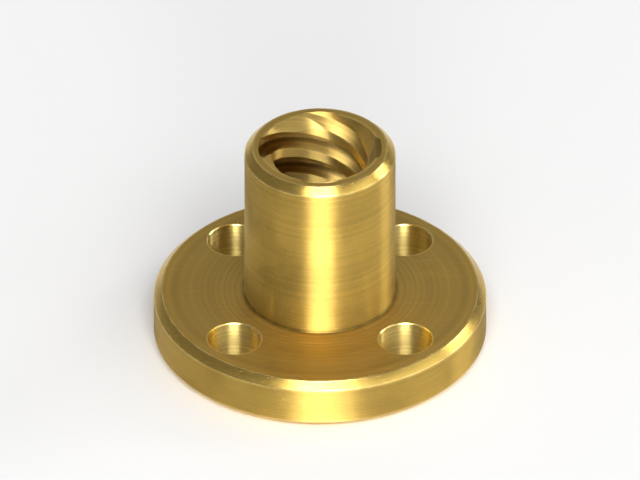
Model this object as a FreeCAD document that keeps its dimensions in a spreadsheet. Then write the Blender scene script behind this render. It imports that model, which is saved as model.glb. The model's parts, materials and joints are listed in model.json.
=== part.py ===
import FreeCAD, Part
import os
import Sketcher

# Lead screw nut: one turned piece of brass. A round flange carries a sleeve, the bore holds a
# trapezoidal thread with several starts, and plain bolt holes stand round the sleeve.
# Millimetres. The flange's bottom face lies on Z = 0, and +Z runs up the bore towards the sleeve's end.

document = FreeCAD.newDocument("lead_screw_nut")

# Driving sizes, one row each: name, value, and what the value measures.
SIZES = (
    ("ScrewDiameter", 8, "outside diameter of the lead screw that runs in the nut"),
    ("ThreadPitch", 2, "distance along the axis from one thread ridge to the next"),
    ("ThreadStarts", 4, "ridges that wind side by side, so one turn moves pitch times starts"),
    ("FlankAngle", 15, "slope of each thread flank, in degrees from square to the axis"),
    ("CrestRelief", 0.175, "radial gap between the nut's ridges and the bottom of the screw's grooves"),
    ("RootClearance", 0.1, "radial gap between the nut's grooves and the outside of the screw"),
    ("FlankPlay", 0.01, "slack along the axis between the screw's ridge and the nut's groove"),
    ("MouthChamfer", 0.7, "width of the 45 degree countersink at each end of the bore"),
    ("SleeveWall", 1, "metal between the screw's outside and the sleeve's outside"),
    ("SleeveRise", 11.5, "height of the sleeve above the flange"),
    ("SleeveChamfer", 0.5, "45 degree chamfer round the sleeve's top edge"),
    ("FlangeThickness", 3.5, "height of the flange"),
    ("RimChamfer", 0.5, "45 degree chamfer on both edges of the flange's rim"),
    ("BoltHoleDiameter", 3.5, "plain clearance hole for one mounting screw"),
    ("BoltHoleCount", 4, "mounting holes, evenly spaced"),
    ("FirstBoltAngle", 45, "direction of the first mounting hole, in degrees from +X"),
    ("BoltHeadRoom", 1.25, "flange left between the sleeve and each hole, so that a screw's head clears"),
    ("RimWidth", 1.25, "flange left between each hole and the rim"),
    ("CutOverlap", 0.2, "how far each turned or threaded cut starts and ends clear of the metal"),
)

sheet = document.addObject("Spreadsheet::Sheet", "Sizes")
for row, (name, value, meaning) in enumerate(SIZES, start=1):
    sheet.set(f"A{row}", name)
    sheet.set(f"B{row}", str(value))
    sheet.set(f"C{row}", meaning)
    sheet.setAlias(f"B{row}", name)
document.recompute()

# Sizes that follow from the driving ones.
SLEEVE_RADIUS = "(Sizes.ScrewDiameter / 2 + Sizes.SleeveWall)"
BOLT_CIRCLE_RADIUS = f"({SLEEVE_RADIUS} + Sizes.BoltHeadRoom + Sizes.BoltHoleDiameter / 2)"
FLANGE_RADIUS = f"({BOLT_CIRCLE_RADIUS} + Sizes.BoltHoleDiameter / 2 + Sizes.RimWidth)"
NUT_HEIGHT = "(Sizes.FlangeThickness + Sizes.SleeveRise)"
CREST_RADIUS = "((Sizes.ScrewDiameter - Sizes.ThreadPitch) / 2 + Sizes.CrestRelief)"
ROOT_RADIUS = "(Sizes.ScrewDiameter / 2 + Sizes.RootClearance)"
PITCH_RADIUS = "(Sizes.ScrewDiameter / 2 - Sizes.ThreadPitch / 4)"


def attached_sketch(body, name, plane):
    """An empty sketch on one of the body's own origin planes."""
    sketch = body.newObject("Sketcher::SketchObject", name)
    sketch.AttachmentSupport = (origin_feature(body, plane), "")
    sketch.MapMode = "FlatFace"
    return sketch


def origin_feature(body, role):
    return next(feature for feature in body.Origin.OriginFeatures if feature.Role == role)


def place_point(sketch, geometry, point, across, up):
    """Ties one point of a sketch to its two distances from the origin."""
    for kind, axis, distance in (("DistanceX", -2, across), ("DistanceY", -1, up)):
        if distance == "0":
            sketch.addConstraint(Sketcher.Constraint("PointOnObject", geometry, point, axis))
            continue
        start = float(sketch.evalExpression(distance))
        number = sketch.addConstraint(Sketcher.Constraint(kind, -1, 1, geometry, point, start))
        sketch.setExpression(f"Constraints[{number}]", distance)


def draw_outline(sketch, corners):
    """A closed outline of straight edges through corners, each given as (across, up)."""
    places = [
        FreeCAD.Vector(float(sketch.evalExpression(across)), float(sketch.evalExpression(up)), 0)
        for across, up in corners
    ]
    edges = [
        sketch.addGeometry(Part.LineSegment(places[i - 1], places[i]), False) for i in range(len(places))
    ]
    for i, (across, up) in enumerate(corners):
        sketch.addConstraint(Sketcher.Constraint("Coincident", edges[i - 1], 2, edges[i], 1))
        place_point(sketch, edges[i], 2, across, up)


def bind(feature, **expressions):
    for size, expression in expressions.items():
        feature.setExpression(size, expression)


def turned(body, kind, name, sketch):
    """Metal added or cut by turning a sketch once round the Z axis."""
    feature = body.newObject(kind, name)
    feature.Profile = sketch
    feature.ReferenceAxis = (origin_feature(body, "Z_Axis"), [""])
    feature.Angle = 360
    feature.Refine = False
    return feature


def round_the_axis(body, name, feature, count):
    """Copies of a feature, evenly spaced round the Z axis."""
    pattern = body.newObject("PartDesign::PolarPattern", name)
    pattern.Originals = [feature]
    pattern.Axis = (origin_feature(body, "Z_Axis"), [""])
    pattern.Angle = 360
    pattern.Refine = False
    bind(pattern, Occurrences=count)
    body.Tip = pattern
    document.recompute()
    return pattern


nut = document.addObject("PartDesign::Body", "FlangedNut")
nut.Label = "flanged_nut"

# The blank is turned from bar: flange and sleeve in one piece, bored to the thread's inner diameter.
section = attached_sketch(nut, "TurnedSection", "XZ_Plane")
draw_outline(section, [
    (CREST_RADIUS, "0"),
    (f"{FLANGE_RADIUS} - Sizes.RimChamfer", "0"),
    (FLANGE_RADIUS, "Sizes.RimChamfer"),
    (FLANGE_RADIUS, "Sizes.FlangeThickness - Sizes.RimChamfer"),
    (f"{FLANGE_RADIUS} - Sizes.RimChamfer", "Sizes.FlangeThickness"),
    (SLEEVE_RADIUS, "Sizes.FlangeThickness"),
    (SLEEVE_RADIUS, f"{NUT_HEIGHT} - Sizes.SleeveChamfer"),
    (f"{SLEEVE_RADIUS} - Sizes.SleeveChamfer", NUT_HEIGHT),
    (CREST_RADIUS, NUT_HEIGHT),
])
blank = turned(nut, "PartDesign::Revolution", "TurnedBlank", section)
document.recompute()

# The mounting holes go straight through the flange, with sharp edges.
hole_circle = attached_sketch(nut, "BoltHoleCircle", "XY_Plane")
hole_centre = [f"{BOLT_CIRCLE_RADIUS} * {way}(Sizes.FirstBoltAngle)" for way in ("cos", "sin")]
centre_place = FreeCAD.Vector(*(float(hole_circle.evalExpression(place)) for place in hole_centre), 0)
hole_edge = hole_circle.addGeometry(
    Part.Circle(centre_place, FreeCAD.Vector(0, 0, 1), float(sheet.BoltHoleDiameter) / 2), False
)
place_point(hole_circle, hole_edge, 3, *hole_centre)
width = hole_circle.addConstraint(Sketcher.Constraint("Diameter", hole_edge, float(sheet.BoltHoleDiameter)))
hole_circle.setExpression(f"Constraints[{width}]", "Sizes.BoltHoleDiameter")
bolt_hole = nut.newObject("PartDesign::Pocket", "BoltHole")
bolt_hole.Profile = hole_circle
bolt_hole.Reversed = True
bind(bolt_hole, Length="Sizes.FlangeThickness + Sizes.CutOverlap")
document.recompute()
bolt_holes = round_the_axis(nut, "BoltHoles", bolt_hole, "Sizes.BoltHoleCount")

# Each mouth of the bore is countersunk, so that the screw's end finds its way in.
mouth_inner = f"{CREST_RADIUS} - Sizes.CutOverlap"
mouth_outer = f"{CREST_RADIUS} + Sizes.MouthChamfer + Sizes.CutOverlap"
mouth_section = attached_sketch(nut, "MouthSection", "XZ_Plane")
draw_outline(mouth_section, [
    (mouth_inner, f"{NUT_HEIGHT} - Sizes.MouthChamfer - Sizes.CutOverlap"),
    (mouth_outer, f"{NUT_HEIGHT} + Sizes.CutOverlap"),
    (mouth_inner, f"{NUT_HEIGHT} + Sizes.CutOverlap"),
])
draw_outline(mouth_section, [
    (mouth_inner, "Sizes.MouthChamfer + Sizes.CutOverlap"),
    (mouth_outer, "-Sizes.CutOverlap"),
    (mouth_inner, "-Sizes.CutOverlap"),
])
mouths = turned(nut, "PartDesign::Groove", "BoreMouths", mouth_section)
document.recompute()

# The thread is right-handed. One groove is cut a whole number of pitches below the top face, so that it
# opens there towards +X, and it runs past both ends of the bore. Turned copies give the other starts.
PITCHES_BELOW_TOP = f"ceil({NUT_HEIGHT} / Sizes.ThreadPitch + 1)"
GROOVE_LEVEL = f"({NUT_HEIGHT} - {PITCHES_BELOW_TOP} * Sizes.ThreadPitch)"
HALF_GROOVE = "(Sizes.ThreadPitch / 4 + Sizes.FlankPlay / 2)"
groove_inner = f"({CREST_RADIUS} - Sizes.CutOverlap)"
inner_half = f"({HALF_GROOVE} + ({PITCH_RADIUS} - {groove_inner}) * tan(Sizes.FlankAngle))"
outer_half = f"({HALF_GROOVE} - ({ROOT_RADIUS} - {PITCH_RADIUS}) * tan(Sizes.FlankAngle))"
groove_section = attached_sketch(nut, "ThreadGrooveSection", "XZ_Plane")
draw_outline(groove_section, [
    (groove_inner, f"{GROOVE_LEVEL} - {inner_half}"),
    (ROOT_RADIUS, f"{GROOVE_LEVEL} - {outer_half}"),
    (ROOT_RADIUS, f"{GROOVE_LEVEL} + {outer_half}"),
    (groove_inner, f"{GROOVE_LEVEL} + {inner_half}"),
])
groove = nut.newObject("PartDesign::SubtractiveHelix", "ThreadGroove")
groove.Profile = groove_section
groove.ReferenceAxis = (groove_section, ["V_Axis"])
groove.Mode = "pitch-height-angle"
groove.Angle = 0
groove.Refine = False
bind(
    groove,
    Pitch="Sizes.ThreadPitch * Sizes.ThreadStarts",
    Height=f"({PITCHES_BELOW_TOP} + 1) * Sizes.ThreadPitch",
)
document.recompute()
thread = round_the_axis(nut, "ThreadStarts", groove, "Sizes.ThreadStarts")
document.recompute()

# Nothing is written unless every step worked, each cut took metal away and one sound solid is left.
failed = [item.Name for item in document.Objects if {"Invalid", "Error"} & set(item.State)]
if failed:
    raise RuntimeError(f"these objects failed: {failed}")
steps = (blank, bolt_hole, bolt_holes, mouths, groove, thread)
for before, after in zip(steps, steps[1:]):
    if after.Shape.Volume >= before.Shape.Volume:
        raise RuntimeError(f"{after.Name} cut nothing")
if nut.Shape.isNull() or not nut.Shape.isValid() or len(nut.Shape.Solids) != 1:
    raise RuntimeError("the nut isn't one valid solid")

os.makedirs("parts", exist_ok=True)
nut.Shape.exportStep(f"parts/{nut.Label}.step")
box = nut.Shape.optimalBoundingBox()
across, deep, high = box.XLength, box.YLength, box.ZLength
print(f"{nut.Label}: {across:.3f} x {deep:.3f} x {high:.3f} mm, {nut.Shape.Volume:.2f} mm3")
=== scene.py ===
import json
import math

import bpy
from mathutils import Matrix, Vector

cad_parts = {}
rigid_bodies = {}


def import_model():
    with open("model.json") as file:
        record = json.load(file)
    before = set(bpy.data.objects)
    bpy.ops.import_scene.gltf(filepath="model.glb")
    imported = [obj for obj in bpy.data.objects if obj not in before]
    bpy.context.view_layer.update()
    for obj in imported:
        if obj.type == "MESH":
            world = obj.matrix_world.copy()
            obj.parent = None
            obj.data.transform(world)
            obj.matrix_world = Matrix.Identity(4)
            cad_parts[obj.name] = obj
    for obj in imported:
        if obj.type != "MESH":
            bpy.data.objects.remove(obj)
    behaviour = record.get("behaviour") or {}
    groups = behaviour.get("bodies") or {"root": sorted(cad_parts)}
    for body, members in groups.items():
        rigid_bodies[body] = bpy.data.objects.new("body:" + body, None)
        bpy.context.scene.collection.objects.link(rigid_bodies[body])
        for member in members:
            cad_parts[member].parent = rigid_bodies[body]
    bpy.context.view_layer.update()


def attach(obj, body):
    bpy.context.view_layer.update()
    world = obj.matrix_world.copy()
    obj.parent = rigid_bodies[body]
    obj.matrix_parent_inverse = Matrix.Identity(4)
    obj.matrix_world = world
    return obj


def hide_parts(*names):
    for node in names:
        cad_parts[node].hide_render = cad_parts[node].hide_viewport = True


for leftover in list(bpy.data.objects):
    bpy.data.objects.remove(leftover)
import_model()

# The nut is one piece of brass: a round flange with a sleeve standing on it. It is turned and bored from
# bar, drilled with four plain holes and tapped with four thread grooves, and its edges are broken lightly.
# These sizes are in millimetres, and each tool's outline is drawn as (distance from its axis, height).
MM = 0.001
SLEEVE_RADIUS, SLEEVE_CHAMFER = 5.0, 0.5
FLANGE_RADIUS, FLANGE_THICKNESS, RIM_CHAMFER = 11.0, 3.5, 0.5
NUT_HEIGHT = 15.0
CREST_RADIUS, ROOT_RADIUS, MOUTH_RADIUS = 3.175, 4.1, 3.875
THREAD_PITCH, THREAD_STARTS = 2.0, 4
THREAD_LEAD = THREAD_PITCH * THREAD_STARTS
PITCH_RADIUS, FLANK_SLOPE, FLANK_PLAY = 3.5, math.tan(math.radians(15)), 0.005
PITCHES_BELOW_TOP, PITCHES_PAST_TOP = 9, 0.5
HOLE_RADIUS, HOLE_CIRCLE, HOLE_COUNT, FIRST_HOLE = 1.75, 8.0, 4, math.radians(45)
TOOL_OVERLAP = 0.2
EDGE_BREAK, BURR_BREAK, ROOT_ROUNDING = 0.05, 0.06, 0.1
TURNING_STEPS, DRILLING_STEPS, TAPPING_STEPS, CORNER_STEPS = 256, 96, 300, 3
SEAM_WIDTH, SLIVER_WIDTH = 0.001, 0.0001


def groove_half(radius):
    """Half the width of a thread groove, measured along the axis at this radius."""
    return THREAD_PITCH / 4 + FLANK_PLAY - (radius - PITCH_RADIUS) * FLANK_SLOPE


mouth_depth = MOUTH_RADIUS - CREST_RADIUS
sleeve_foot = (SLEEVE_RADIUS, FLANGE_THICKNESS)
turned_outline = [
    (CREST_RADIUS, mouth_depth),
    (MOUTH_RADIUS, 0),
    (FLANGE_RADIUS - RIM_CHAMFER, 0),
    (FLANGE_RADIUS, RIM_CHAMFER),
    (FLANGE_RADIUS, FLANGE_THICKNESS - RIM_CHAMFER),
    (FLANGE_RADIUS - RIM_CHAMFER, FLANGE_THICKNESS),
    sleeve_foot,
    (SLEEVE_RADIUS, NUT_HEIGHT - SLEEVE_CHAMFER),
    (SLEEVE_RADIUS - SLEEVE_CHAMFER, NUT_HEIGHT),
    (MOUTH_RADIUS, NUT_HEIGHT),
    (CREST_RADIUS, NUT_HEIGHT - mouth_depth),
]
flare = HOLE_RADIUS + BURR_BREAK + TOOL_OVERLAP
drilled_outline = [
    (0, -TOOL_OVERLAP),
    (flare, -TOOL_OVERLAP),
    (HOLE_RADIUS, BURR_BREAK),
    (HOLE_RADIUS, FLANGE_THICKNESS - BURR_BREAK),
    (flare, FLANGE_THICKNESS + TOOL_OVERLAP),
    (0, FLANGE_THICKNESS + TOOL_OVERLAP),
]
flank_top = CREST_RADIUS + BURR_BREAK
tapped_half = [
    (CREST_RADIUS - TOOL_OVERLAP, groove_half(flank_top) + BURR_BREAK + TOOL_OVERLAP),
    (flank_top, groove_half(flank_top)),
    (ROOT_RADIUS, groove_half(ROOT_RADIUS)),
]
tapped_outline = [(r, -half) for r, half in tapped_half] + [(r, half) for r, half in reversed(tapped_half)]
TURNED, DRILLED, TAPPED = 0, 1, 2

outlines = bpy.data.meshes.new("nut_outlines")
corners, edges, kinds = [], [], []
for kind, outline, closed in (
    (TURNED, turned_outline, True),
    (DRILLED, drilled_outline, False),
    (TAPPED, tapped_outline, True),
):
    first = len(corners)
    corners += [(out_from_axis * MM, height * MM, 0) for out_from_axis, height in outline]
    kinds += [kind] * len(outline)
    edges += [(first + i, first + i + 1) for i in range(len(outline) - 1)]
    if closed:
        edges.append((len(corners) - 1, first))
outlines.from_pydata(corners, edges, [])
outlines.attributes.new("kind", "INT", "POINT").data.foreach_set("value", kinds)


def add_node(tree, kind, inputs=None, **settings):
    """A node with its settings made and each input given a value or joined to another node's output."""
    made = tree.nodes.new(kind)
    for name, value in settings.items():
        setattr(made, name, value)
    for name, value in (inputs or {}).items():
        if isinstance(value, bpy.types.NodeSocket):
            tree.links.new(value, made.inputs[name])
        else:
            made.inputs[name].default_value = value
    return made


def new_tree(name, kind, inputs, results):
    """A node tree with named inputs and results, and nothing between them yet."""
    tree = bpy.data.node_groups.new(name, kind)
    for label, socket_type, value in inputs:
        socket = tree.interface.new_socket(label, in_out="INPUT", socket_type=socket_type)
        if value is not None:
            socket.default_value = value
    for label, socket_type in results:
        tree.interface.new_socket(label, in_out="OUTPUT", socket_type=socket_type)
    return tree, tree.nodes.new("NodeGroupInput").outputs, tree.nodes.new("NodeGroupOutput").inputs


def calculate(tree, operation, *values):
    """One sum on numbers in a node tree."""
    return add_node(tree, "ShaderNodeMath", dict(enumerate(values)), operation=operation).outputs[0]


# Turning, drilling and tapping are one motion: an outline winds round the Z axis and climbs by the lead. It
# is swept along a line one metre long first, and then each point's way along the line becomes its angle.
winding, given, result = new_tree("wind_outline", "GeometryNodeTree", (
    ("Outline", "NodeSocketGeometry", None),
    ("Steps", "NodeSocketInt", TURNING_STEPS),
    ("Turns", "NodeSocketFloat", 1.0),
    ("Lead", "NodeSocketFloat", 0.0),
    ("Capped", "NodeSocketBool", False),
), [("Geometry", "NodeSocketGeometry")])
line = add_node(winding, "GeometryNodeCurvePrimitiveLine", {"Start": (0, 0, 0), "End": (1, 0, 0)})
stations = add_node(winding, "GeometryNodeResampleCurve", {
    "Curve": line.outputs["Curve"], "Count": calculate(winding, "ADD", given["Steps"], 1)})
swept = add_node(winding, "GeometryNodeCurveToMesh", {
    "Curve": stations.outputs["Curve"], "Profile Curve": given["Outline"], "Fill Caps": given["Capped"]})
swept_place = add_node(winding, "GeometryNodeInputPosition").outputs[0]
straight = add_node(winding, "ShaderNodeSeparateXYZ", {0: swept_place})
turns_so_far = calculate(winding, "MULTIPLY", straight.outputs["X"], given["Turns"])
angle = calculate(winding, "MULTIPLY", turns_so_far, math.tau)
across = calculate(winding, "MULTIPLY", straight.outputs["Y"], -1.0)
up = calculate(winding, "MULTIPLY", straight.outputs["Z"], -1.0)
wound_place = add_node(winding, "ShaderNodeCombineXYZ", {
    "X": calculate(winding, "MULTIPLY", across, calculate(winding, "COSINE", angle)),
    "Y": calculate(winding, "MULTIPLY", across, calculate(winding, "SINE", angle)),
    "Z": calculate(winding, "MULTIPLY_ADD", turns_so_far, given["Lead"], up),
})
wound = add_node(winding, "GeometryNodeSetPosition", {
    "Geometry": swept.outputs["Mesh"], "Position": wound_place.outputs[0]})
joined = add_node(winding, "GeometryNodeMergeByDistance", {
    "Geometry": wound.outputs[0], "Distance": SEAM_WIDTH * MM})
outward = add_node(winding, "GeometryNodeFlipFaces", {"Mesh": joined.outputs[0]})
winding.links.new(outward.outputs[0], result["Geometry"])

making, given, result = new_tree("make_nut", "GeometryNodeTree", (
    ("Outlines", "NodeSocketGeometry", None),
    ("Edge Break", "NodeSocketFloat", EDGE_BREAK * MM),
    ("Turning Steps", "NodeSocketInt", TURNING_STEPS),
    ("Hole Circle", "NodeSocketFloat", 0.0),
    ("Hole Count", "NodeSocketInt", 1),
    ("First Hole", "NodeSocketFloat", 0.0),
    ("Drilling Steps", "NodeSocketInt", DRILLING_STEPS),
    ("Groove Level", "NodeSocketFloat", 0.0),
    ("Groove Turns", "NodeSocketFloat", 1.0),
    ("Lead", "NodeSocketFloat", 0.0),
    ("Starts", "NodeSocketInt", 1),
    ("Root Rounding", "NodeSocketFloat", ROOT_ROUNDING * MM),
    ("Tapping Steps", "NodeSocketInt", TAPPING_STEPS),
    ("Wall Finish", "NodeSocketMaterial", None),
    ("Face Finish", "NodeSocketMaterial", None),
    ("Chamfer Finish", "NodeSocketMaterial", None),
), [("Geometry", "NodeSocketGeometry")])


def one_outline(kind, rounding):
    """The curve of one outline, with its corners rounded by this much."""
    read = add_node(making, "GeometryNodeInputNamedAttribute", {"Name": "kind"}, data_type="INT")
    same = add_node(making, "FunctionNodeCompare", {
        2: read.outputs[0], 3: kind}, data_type="INT", operation="EQUAL")
    kept = add_node(making, "GeometryNodeSeparateGeometry", {
        "Geometry": given["Outlines"], "Selection": same.outputs[0]}, domain="POINT")
    curve = add_node(making, "GeometryNodeMeshToCurve", {"Mesh": kept.outputs["Selection"]}).outputs[0]
    if rounding is None:
        return curve
    return add_node(making, "GeometryNodeFilletCurve", {
        "Curve": curve, "Radius": rounding, "Limit Radius": True, "Count": CORNER_STEPS,
    }, mode="POLY").outputs[0]


def wind(curve, **inputs):
    """The solid that an outline's curve leaves as it winds round the axis."""
    named = {name.title(): value for name, value in inputs.items()}
    return add_node(making, "GeometryNodeGroup", {"Outline": curve, **named}, node_tree=winding).outputs[0]


blank = wind(one_outline(TURNED, given["Edge Break"]), steps=given["Turning Steps"])
drill = wind(one_outline(DRILLED, None), steps=given["Drilling Steps"])
hole_ring = add_node(making, "GeometryNodeMeshCircle", {
    "Vertices": given["Hole Count"], "Radius": given["Hole Circle"]})
hole_turn = add_node(making, "ShaderNodeCombineXYZ", {"Z": given["First Hole"]})
hole_places = add_node(making, "GeometryNodeTransform", {
    "Geometry": hole_ring.outputs[0], "Rotation": hole_turn.outputs[0]})
drills = add_node(making, "GeometryNodeInstanceOnPoints", {
    "Points": hole_places.outputs[0], "Instance": drill})
tap = wind(
    one_outline(TAPPED, given["Root Rounding"]),
    steps=given["Tapping Steps"], turns=given["Groove Turns"], lead=given["Lead"], capped=True,
)
tap_rise = add_node(making, "ShaderNodeCombineXYZ", {"Z": given["Groove Level"]})
placed_tap = add_node(making, "GeometryNodeTransform", {
    "Geometry": tap, "Translation": tap_rise.outputs[0]})
start_points = add_node(making, "GeometryNodePoints", {"Count": given["Starts"]})
start_number = add_node(making, "GeometryNodeInputIndex").outputs[0]
start_share = calculate(making, "DIVIDE", start_number, given["Starts"])
start_turn = add_node(making, "ShaderNodeCombineXYZ", {
    "Z": calculate(making, "MULTIPLY", start_share, math.tau)})
taps = add_node(making, "GeometryNodeInstanceOnPoints", {
    "Points": start_points.outputs[0], "Instance": placed_tap.outputs[0],
    "Rotation": add_node(making, "FunctionNodeEulerToRotation", {0: start_turn.outputs[0]}).outputs[0]})
cut = add_node(making, "GeometryNodeMeshBoolean", {"Mesh 1": blank}, operation="DIFFERENCE", solver="EXACT")
for tools in (drills, taps):
    tool_meshes = add_node(making, "GeometryNodeRealizeInstances", {0: tools.outputs[0]})
    making.links.new(tool_meshes.outputs[0], cut.inputs["Mesh 2"])
cleaned = add_node(making, "GeometryNodeMergeByDistance", {
    "Geometry": cut.outputs["Mesh"], "Distance": SLIVER_WIDTH * MM})
finished = add_node(making, "GeometryNodeRealizeInstances", {0: cleaned.outputs[0]})

# A face that lies flat was faced, one that slopes outside the thread was chamfered, and the rest is wall.
ANY_TILT, CHAMFER_TILT, FLAT_TILT = -1.0, 0.2, 0.98
CHAMFER_MARGIN = 0.1
facing = add_node(making, "ShaderNodeSeparateXYZ", {
    0: add_node(making, "GeometryNodeInputNormal").outputs[0]})
tilt = calculate(making, "ABSOLUTE", facing.outputs["Z"])
from_axis = add_node(making, "ShaderNodeVectorMath", {
    0: add_node(making, "GeometryNodeInputPosition").outputs[0], 1: (1, 1, 0)}, operation="MULTIPLY")
face_radius = add_node(making, "ShaderNodeVectorMath", {
    0: from_axis.outputs[0]}, operation="LENGTH").outputs["Value"]
outside_thread = calculate(
    making, "GREATER_THAN", face_radius, (SLEEVE_RADIUS - SLEEVE_CHAMFER - CHAMFER_MARGIN) * MM)
for finish_name, least_tilt, where in (
    ("Wall Finish", ANY_TILT, 1.0),
    ("Chamfer Finish", CHAMFER_TILT, outside_thread),
    ("Face Finish", FLAT_TILT, 1.0),
):
    tilted = calculate(making, "GREATER_THAN", tilt, least_tilt)
    chosen = calculate(making, "MULTIPLY", tilted, where)
    finished = add_node(making, "GeometryNodeSetMaterial", {
        "Geometry": finished.outputs[0], "Selection": chosen, "Material": given[finish_name]})
making.links.new(finished.outputs[0], result["Geometry"])

# The finish the tools leave: fine marks round the axis, a little tarnish and bright rubbed edges. The colour
# is also made darker at the sleeve's foot, in the thread roots and low in the bolt holes. The flat faces are
# darker brass all over as painted shade, and the insides of the holes and the thread are paler as painted
# light.
# It works in millimetres from the nut's own axis, and inside a bolt hole from the hole's axis.
FRESH_BRASS = (0.710, 0.478, 0.110, 1)
# A darker brass, used for the tarnish and over the whole of the flat faces as painted shade.
TARNISH_AND_PAINTED_SHADE_BRASS = (0.515, 0.347, 0.088, 1)
RUBBED_BRASS = (0.800, 0.575, 0.185, 1)
# Paler brass for the insides of the bolt holes and of the thread, as painted light against the shade that
# falls there.
HOLE_PAINTED_LIGHT_BRASS = (0.950, 0.750, 0.270, 1)
THREAD_PAINTED_LIGHT_BRASS = (0.930, 0.670, 0.205, 1)
# A dark brown that the sleeve's foot, the thread roots and the lower part of the bolt holes are made darker
# with.
DARKENING_BROWN = (0.090, 0.058, 0.020, 1)
FINISH_EDGE = 0.1
MARKS_UP_A_WALL = 1.7
LINES_ALONG = 40.0
RUB_REACH, RUB_FULL = 0.16, 0.03
FOOT_DARKENING_REACH, MOST_FOOT_DARKENING = 0.3, 0.6
ROOT_DARKENING_START, MOST_ROOT_DARKENING = 3.45, 0.30
HOLE_DARKENING_START, HOLE_DARKENING_FULL, MOST_HOLE_DARKENING = 1.2, 0.1, 0.2
# How far the insides of the holes and the thread are painted paler, as painted light.
PAINTED_LIGHT_INSIDE = 0.9
MICRON = 0.001 * MM
FEED_MARK_MICRONS, BAND_MICRONS, SCRATCH_MICRONS = 3.0, 6.0, 3.0
SCRATCH_EDGE, SCRATCH_FLOOR, SCRATCH_TONE = 0.685, 0.72, 0.12
DARKENED_ROUGHER, RUBBED_SMOOTHER = 0.15, 0.06
hole_side = HOLE_CIRCLE * math.sin(FIRST_HOLE)

finish, given, result = new_tree("tool_marks", "ShaderNodeTree", (
    ("Roughness", "NodeSocketFloat", 0.5),
    ("Tapped", "NodeSocketFloat", 0.0),
    ("Mark Depth", "NodeSocketFloat", 1.0),
    ("Painted Shade", "NodeSocketFloat", 0.0),
), (("Color", "NodeSocketColor"), ("Roughness", "NodeSocketFloat"), ("Normal", "NodeSocketVector")))


def number_sum(operation, *values):
    """One sum on numbers in the finish."""
    return calculate(finish, operation, *values)


def place_sum(operation, *values):
    """One sum on places in the finish. It gives a length or another place."""
    made = add_node(finish, "ShaderNodeVectorMath", dict(enumerate(values)), operation=operation)
    return made.outputs["Value" if operation in ("LENGTH", "DISTANCE") else "Vector"]


def scaled(place_or_colour, factor):
    """A place or a colour times a number."""
    return add_node(finish, "ShaderNodeVectorMath", {
        0: place_or_colour, 3: factor}, operation="SCALE").outputs["Vector"]


def fade(value, start, end, low=0.0, high=1.0):
    """Goes smoothly from low to high while the value goes from start to end."""
    return add_node(finish, "ShaderNodeMapRange", {
        "Value": value, "From Min": start, "From Max": end, "To Min": low, "To Max": high,
    }, interpolation_type="SMOOTHSTEP").outputs["Result"]


def blend(factor, first, second):
    """A number between two others."""
    return add_node(finish, "ShaderNodeMix", {
        0: factor, 2: first, 3: second}, data_type="FLOAT").outputs[0]


def tint(factor, first, second):
    """A colour between two others."""
    return add_node(finish, "ShaderNodeMix", {
        0: factor, 6: first, 7: second}, data_type="RGBA").outputs[2]


def grain(per_mm, detail, place=None, travel=None):
    """Noise with this many swells to the millimetre, in space or along the way that a tool travels."""
    inputs, dimensions = ({"W": travel}, "1D") if place is None else ({"Vector": place}, "3D")
    inputs.update({"Scale": per_mm, "Detail": detail})
    return add_node(finish, "ShaderNodeTexNoise", inputs, noise_dimensions=dimensions).outputs["Fac"]


place = scaled(add_node(finish, "ShaderNodeTexCoord").outputs["Object"], 1 / MM)
axes = add_node(finish, "ShaderNodeSeparateXYZ", {0: place}).outputs
radius = place_sum("LENGTH", place_sum("MULTIPLY", place, (1, 1, 0)))
from_hole = place_sum("SUBTRACT", place_sum("ABSOLUTE", place), (hole_side, hole_side, 0))
hole_distance = place_sum("LENGTH", place_sum("MULTIPLY", from_hole, (1, 1, 0)))
in_hole = fade(hole_distance, HOLE_RADIUS + 2 * BURR_BREAK, HOLE_RADIUS + BURR_BREAK)
in_bore = fade(radius, ROOT_RADIUS + 2 * FINISH_EDGE, ROOT_RADIUS + FINISH_EDGE)
in_thread = number_sum("MULTIPLY", in_bore, given["Tapped"])

turns_round = number_sum("DIVIDE", number_sum("ARCTAN2", axes["Y"], axes["X"]), math.tau)
climbed = number_sum("MULTIPLY", turns_round, THREAD_LEAD)
above_helix = number_sum("SUBTRACT", axes["Z"], climbed)
above_groove = number_sum("WRAP", above_helix, THREAD_PITCH / 2, -THREAD_PITCH / 2)
out = blend(in_hole, radius, hole_distance)
height = blend(in_thread, axes["Z"], above_groove)
travel = number_sum("MULTIPLY_ADD", height, MARKS_UP_A_WALL, out)

feed_marks = grain(per_mm=8.0, detail=2.0, travel=travel)
bands = grain(per_mm=1.7, detail=2.0, travel=travel)
lines = grain(per_mm=3.6, detail=1.0, travel=number_sum("ADD", travel, LINES_ALONG))
cloud = grain(per_mm=0.26, detail=4.0, place=place)
patchiness = grain(per_mm=0.9, detail=3.0, place=place)
specks = grain(per_mm=5.0, detail=3.0, place=place)


def scratches(turn, stretch):
    """Thin straight scratches in one direction, deepest where it is 1."""
    turned = add_node(finish, "ShaderNodeMapping", {"Vector": place, "Rotation": turn, "Scale": stretch})
    return fade(grain(per_mm=1.0, detail=1.0, place=turned.outputs[0]), SCRATCH_EDGE, SCRATCH_FLOOR)


scratched = number_sum(
    "MAXIMUM",
    scratches((0.3, 0.2, math.radians(28)), (0.16, 7.0, 7.0)),
    scratches((0.9, 0.4, math.radians(-57)), (0.22, 9.0, 9.0)),
)


def distance_to_edge(out_from_axis, edge_radius, edge_height):
    """How far a point is from a round edge of this radius at this height."""
    here = add_node(finish, "ShaderNodeCombineXYZ", {"X": out_from_axis, "Y": axes["Z"]}).outputs[0]
    return place_sum("DISTANCE", here, (edge_radius, edge_height, 0))


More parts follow.
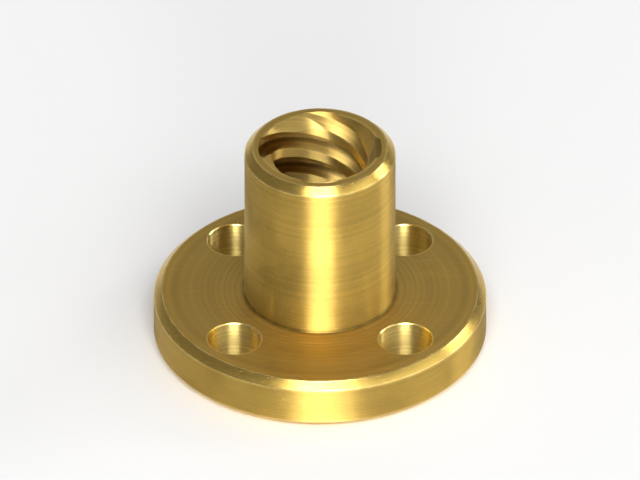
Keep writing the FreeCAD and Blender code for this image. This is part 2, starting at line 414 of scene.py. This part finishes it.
edge_distance = number_sum(
    "MINIMUM",
    distance_to_edge(hole_distance, HOLE_RADIUS, FLANGE_THICKNESS),
    distance_to_edge(hole_distance, HOLE_RADIUS, 0),
)
for edge in turned_outline:
    if edge != sleeve_foot:
        edge_distance = number_sum("MINIMUM", edge_distance, distance_to_edge(radius, *edge))
unevenly = fade(patchiness, 0.35, 0.6, low=0.35)
rubbed = number_sum("MULTIPLY", fade(edge_distance, RUB_REACH, RUB_FULL), unevenly)
# Darker within reach of the sleeve's foot, in the thread roots and towards the bottom of the bolt holes, in
# patches. These parts are rougher too.
foot_darkening = fade(distance_to_edge(radius, *sleeve_foot), FOOT_DARKENING_REACH, 0.0, high=MOST_FOOT_DARKENING)
root_darkening = number_sum("MULTIPLY", fade(radius, ROOT_DARKENING_START, ROOT_RADIUS, high=MOST_ROOT_DARKENING), in_thread)
hole_darkening = number_sum("MULTIPLY", in_hole, fade(axes["Z"], HOLE_DARKENING_START, HOLE_DARKENING_FULL, high=MOST_HOLE_DARKENING))
darkening = number_sum("MAXIMUM", number_sum("MAXIMUM", root_darkening, hole_darkening), foot_darkening)
darkening = number_sum("MULTIPLY", darkening, fade(patchiness, 0.3, 0.65, low=0.55))

# Tarnish comes in clouds and specks, and the flat faces are turned all the way to the darker brass as
# painted shade.
tarnish_and_painted_shade = number_sum("ADD", fade(cloud, 0.42, 0.72, high=0.45), fade(specks, 0.62, 0.72, high=0.25))
tarnish_and_painted_shade = number_sum("ADD", tarnish_and_painted_shade, given["Painted Shade"])
colour = tint(tarnish_and_painted_shade, FRESH_BRASS, TARNISH_AND_PAINTED_SHADE_BRASS)
colour = tint(rubbed, colour, RUBBED_BRASS)
# The insides of the bolt holes and the thread are painted paler, as painted light against their shade.
colour = tint(number_sum("MULTIPLY", in_hole, PAINTED_LIGHT_INSIDE), colour, HOLE_PAINTED_LIGHT_BRASS)
colour = tint(number_sum("MULTIPLY", in_thread, PAINTED_LIGHT_INSIDE), colour, THREAD_PAINTED_LIGHT_BRASS)
colour = tint(darkening, colour, DARKENING_BROWN)
line_tone = number_sum(
    "ADD", fade(bands, 0.3, 0.7, low=0.93, high=1.05), fade(lines, 0.3, 0.7, low=-0.05, high=0.04))
line_tone = number_sum("MULTIPLY_ADD", scratched, SCRATCH_TONE, line_tone)
finish.links.new(scaled(colour, line_tone), result["Color"])

rough = number_sum("ADD", given["Roughness"], fade(cloud, 0.3, 0.7, low=-0.03, high=0.06))
rough = number_sum("ADD", rough, fade(bands, 0.3, 0.7, low=-0.02, high=0.02))
rough = number_sum("MULTIPLY_ADD", darkening, DARKENED_ROUGHER, rough)
rough = number_sum("MULTIPLY_ADD", rubbed, -RUBBED_SMOOTHER, rough)
finish.links.new(rough, result["Roughness"])

relief = number_sum(
    "ADD",
    number_sum("MULTIPLY", feed_marks, FEED_MARK_MICRONS),
    number_sum("MULTIPLY", bands, BAND_MICRONS),
)
relief = number_sum("MULTIPLY", relief, fade(patchiness, 0.25, 0.7, low=0.6, high=1.2))
relief = number_sum("MULTIPLY", relief, given["Mark Depth"])
relief = number_sum("MULTIPLY_ADD", scratched, -SCRATCH_MICRONS, relief)
bump = add_node(finish, "ShaderNodeBump", {"Strength": 1.0, "Distance": MICRON, "Height": relief})
finish.links.new(bump.outputs[0], result["Normal"])

# Marks round the axis spread the light across them, a quarter turn from the way that they run.
ACROSS_THE_MARKS = 0.25


def brass_finish(name, roughness, spread, tapped, mark_depth, tarnish_and_painted_shade):
    """Brass as one way of cutting leaves it: how rough it is, and how far its marks spread the light. The
    last argument paints shade into the colour as a darker brass.
    """
    material = bpy.data.materials.new(name)
    material.use_nodes = True
    tree = material.node_tree
    shader = tree.nodes["Principled BSDF"]
    shader.inputs["Metallic"].default_value = 1.0
    shader.inputs["Anisotropic"].default_value = spread
    shader.inputs["Anisotropic Rotation"].default_value = ACROSS_THE_MARKS
    marks = add_node(tree, "ShaderNodeGroup", node_tree=finish)
    for label, value in (
        ("Roughness", roughness),
        ("Tapped", tapped),
        ("Mark Depth", mark_depth),
        ("Painted Shade", tarnish_and_painted_shade),
    ):
        marks.inputs[label].default_value = value
    for mark_result, socket in (("Color", "Base Color"), ("Roughness", "Roughness"), ("Normal", "Normal")):
        tree.links.new(marks.outputs[mark_result], shader.inputs[socket])
    round_axis = add_node(tree, "ShaderNodeTangent", direction_type="RADIAL", axis="Z")
    tree.links.new(round_axis.outputs[0], shader.inputs["Tangent"])
    return material


turned_brass = brass_finish(
    "turned_brass", roughness=0.48, spread=1.0, tapped=1.0, mark_depth=1.0, tarnish_and_painted_shade=0.0)
# The flat faces get the darker brass all over, as painted shade.
faced_brass_with_painted_shade = brass_finish(
    "faced_brass_with_painted_shade", roughness=0.58, spread=0.0, tapped=0.0, mark_depth=0.6, tarnish_and_painted_shade=1.0)
chamfered_brass = brass_finish(
    "chamfered_brass", roughness=0.27, spread=0.5, tapped=0.0, mark_depth=0.6, tarnish_and_painted_shade=0.0)

nut = bpy.data.objects.new("nut", outlines)
bpy.context.scene.collection.objects.link(nut)
maker = nut.modifiers.new("make_nut", "NODES")
maker.node_group = making
socket_of = {item.name: item.identifier for item in making.interface.items_tree if item.in_out == "INPUT"}
for name, value in (
    ("Edge Break", EDGE_BREAK * MM),
    ("Turning Steps", TURNING_STEPS),
    ("Hole Circle", HOLE_CIRCLE * MM),
    ("Hole Count", HOLE_COUNT),
    ("First Hole", FIRST_HOLE),
    ("Drilling Steps", DRILLING_STEPS),
    ("Groove Level", (NUT_HEIGHT - PITCHES_BELOW_TOP * THREAD_PITCH) * MM),
    ("Groove Turns", (PITCHES_BELOW_TOP + PITCHES_PAST_TOP) / THREAD_STARTS),
    ("Lead", THREAD_LEAD * MM),
    ("Starts", THREAD_STARTS),
    ("Root Rounding", ROOT_ROUNDING * MM),
    ("Tapping Steps", TAPPING_STEPS),
    ("Wall Finish", turned_brass),
    ("Face Finish", faced_brass_with_painted_shade),
    ("Chamfer Finish", chamfered_brass),
):
    maker[socket_of[name]] = value


def settle(piece):
    """Turns what a piece's modifiers make into its own plain mesh."""
    graph = bpy.context.evaluated_depsgraph_get()
    made = bpy.data.meshes.new_from_object(
        piece.evaluated_get(graph), preserve_all_data_layers=True, depsgraph=graph)
    piece.modifiers.clear()
    piece.data = made
    made.name = piece.name


settle(nut)
for slot in reversed(range(len(nut.data.materials))):
    if nut.data.materials[slot] is None:
        nut.data.materials.pop(index=slot)
SHARP_ANGLE = math.radians(25)
nut.data.shade_smooth()
nut.data.set_sharp_from_angle(angle=SHARP_ANGLE)
weighted = nut.modifiers.new("weighted", "WEIGHTED_NORMAL")
weighted.keep_sharp = True
settle(nut)

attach(nut, "root")
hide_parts("flanged_nut")

# The nut stands on a wide sheet of matt white paper, which is the floor of the studio. It lies a hair's
# breadth under the flange, and it is not joined to the nut.
PAPER_WIDTH, PAPER_GAP = 6.0, 0.00001
PAPER_WHITE = (0.92, 0.92, 0.92, 1)
PAPER_ROUGHNESS, PAPER_SHINE = 0.9, 0.1
half = PAPER_WIDTH / 2
paper_corners = [(x, y, -PAPER_GAP) for x, y in ((-half, -half), (half, -half), (half, half), (-half, half))]
paper_mesh = bpy.data.meshes.new("paper")
paper_mesh.from_pydata(paper_corners, [], [(0, 1, 2, 3)])
paper = bpy.data.objects.new("paper", paper_mesh)
bpy.context.scene.collection.objects.link(paper)
white_paper = bpy.data.materials.new("white_paper")
white_paper.use_nodes = True
paper_shader = white_paper.node_tree.nodes["Principled BSDF"]
paper_shader.inputs["Base Color"].default_value = PAPER_WHITE
paper_shader.inputs["Roughness"].default_value = PAPER_ROUGHNESS
paper_shader.inputs["Specular IOR Level"].default_value = PAPER_SHINE
paper_mesh.materials.append(white_paper)

# The camera looks down on the nut as a drawing does, the same way along all three axes and with no
# perspective, and the nut's middle is in the middle of the picture.
PIXELS_ACROSS, PIXELS_PER_MM = 640, 15.11
LOOK_DOWN = math.asin(1 / math.sqrt(3))
CAMERA_DISTANCE, NEAREST, FARTHEST = 0.3, 0.001, 10
middle = Vector((0, 0, NUT_HEIGHT / 2 * MM))
camera_data = bpy.data.cameras.new("camera")
camera_data.type = "ORTHO"
camera_data.ortho_scale = PIXELS_ACROSS / PIXELS_PER_MM * MM
camera_data.clip_start, camera_data.clip_end = NEAREST, FARTHEST
camera = bpy.data.objects.new("camera", camera_data)
camera.location = middle - Vector((0, math.cos(LOOK_DOWN), -math.sin(LOOK_DOWN))) * CAMERA_DISTANCE
camera.rotation_euler = (math.pi / 2 - LOOK_DOWN, 0, 0)
bpy.context.scene.collection.objects.link(camera)
bpy.context.scene.camera = camera

# Plain soft lamps stand round the paper, all facing the nut and all equally far off. Two in front, one low
# and one high, draw the bright line down the turned walls, and the right is lit more than the left.
LAMP_DISTANCE = 1.2


def softbox(name, azimuth, elevation, degrees_wide, degrees_high, radiance):
    """A rectangular lamp that faces the nut. Azimuth turns to the right from straight before the nut."""
    width, height = (
        2 * LAMP_DISTANCE * math.tan(math.radians(angle / 2)) for angle in (degrees_wide, degrees_high))
    lamp_data = bpy.data.lights.new(name, "AREA")
    lamp_data.shape = "RECTANGLE"
    lamp_data.size, lamp_data.size_y = width, height
    lamp_data.energy = radiance * math.pi * width * height
    lamp = bpy.data.objects.new(name, lamp_data)
    turn, rise = math.radians(azimuth), math.radians(elevation)
    out_from_nut = Vector((
        math.sin(turn) * math.cos(rise), -math.cos(turn) * math.cos(rise), math.sin(rise)))
    lamp.location = middle + out_from_nut * LAMP_DISTANCE
    lamp.rotation_euler = out_from_nut.to_track_quat("Z", "Y").to_euler()
    lamp.visible_camera = False
    bpy.context.scene.collection.objects.link(lamp)


softbox("front_low_softbox", 2, 10.5, degrees_wide=31, degrees_high=20, radiance=13.2)
softbox("front_high_softbox", 2, 51, degrees_wide=31, degrees_high=24, radiance=8.3)
softbox("left_front_softbox", -42, 20, degrees_wide=40, degrees_high=30, radiance=0.4)
softbox("right_front_softbox", 56, 31, degrees_wide=60, degrees_high=30, radiance=1.5)
softbox("right_side_softbox", 110, 26, degrees_wide=20, degrees_high=16, radiance=5.0)
softbox("back_softbox", 180, 38, degrees_wide=24, degrees_high=40, radiance=0.42)

# The room is an even grey above, and pale down at the horizon where the paper ends. The two levels are the
# sine of the angle above the horizon.
ROOM_GREY, ROOM_PALE = 0.22, 0.93
PALE_UP_TO, GREY_FROM = 0.01, 0.05
world = bpy.data.worlds.new("studio")
world.use_nodes = True
room = world.node_tree
direction = add_node(room, "ShaderNodeTexCoord").outputs["Generated"]
above_horizon = add_node(room, "ShaderNodeSeparateXYZ", {0: direction}).outputs["Z"]
shade = add_node(room, "ShaderNodeMapRange", {
    "Value": above_horizon,
    "From Min": PALE_UP_TO, "From Max": GREY_FROM, "To Min": ROOM_PALE, "To Max": ROOM_GREY})
room.links.new(shade.outputs["Result"], room.nodes["Background"].inputs["Color"])
bpy.context.scene.world = world
bpy.context.scene.view_settings.view_transform = "Standard"
